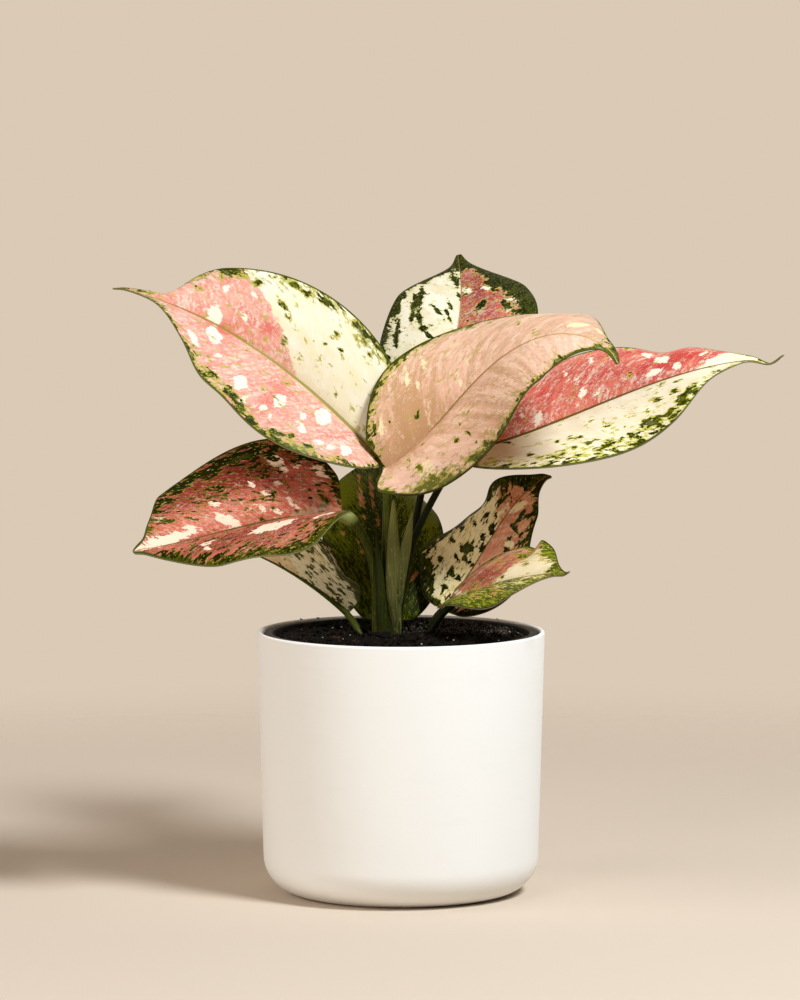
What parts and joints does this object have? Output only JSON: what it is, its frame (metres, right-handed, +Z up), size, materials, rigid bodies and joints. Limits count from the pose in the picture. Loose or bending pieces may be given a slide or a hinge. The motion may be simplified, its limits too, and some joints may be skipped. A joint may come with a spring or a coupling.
{
  "type": "potted jazzy red chinese evergreen",
  "caption": "Small potted foliage plant with broad pointed leaves, marbled pink, cream and green, in soil in a smooth round off-white pot.",
  "frame": {"origin": "centre of the outer pot's flat underside", "axes": "+Z up along the pot's axis, +X to the right of the viewer in front, +Y away from that viewer"},
  "size_m": [0.3247, 0.2317, 0.3043],
  "materials": {
    "pot": "smooth matt off-white",
    "nursery_pot": "thin black plastic, satin",
    "soil": "dark crumbly potting soil",
    "stem": "fleshy green stalk, satin",
    "leaf_pink": "satin leaf, pink and cream",
    "leaf_red": "satin leaf, red-pink and cream",
    "leaf_cream": "satin leaf, cream and green",
    "leaf_green": "satin leaf, green with pink"
  },
  "bodies": {
    "root": {"pot": "pot", "nursery_pot": "nursery_pot", "soil": "soil", "stem_crown": "stem", "leaf_left": "leaf_pink", "leaf_front": "leaf_pink", "leaf_right": "leaf_red", "leaf_lower_left": "leaf_red", "leaf_back": "leaf_cream", "leaf_folded": "leaf_cream", "leaf_upright": "leaf_cream", "leaf_lower_right": "leaf_green", "leaf_low_back": "leaf_green"}
  },
  "joints": []
}
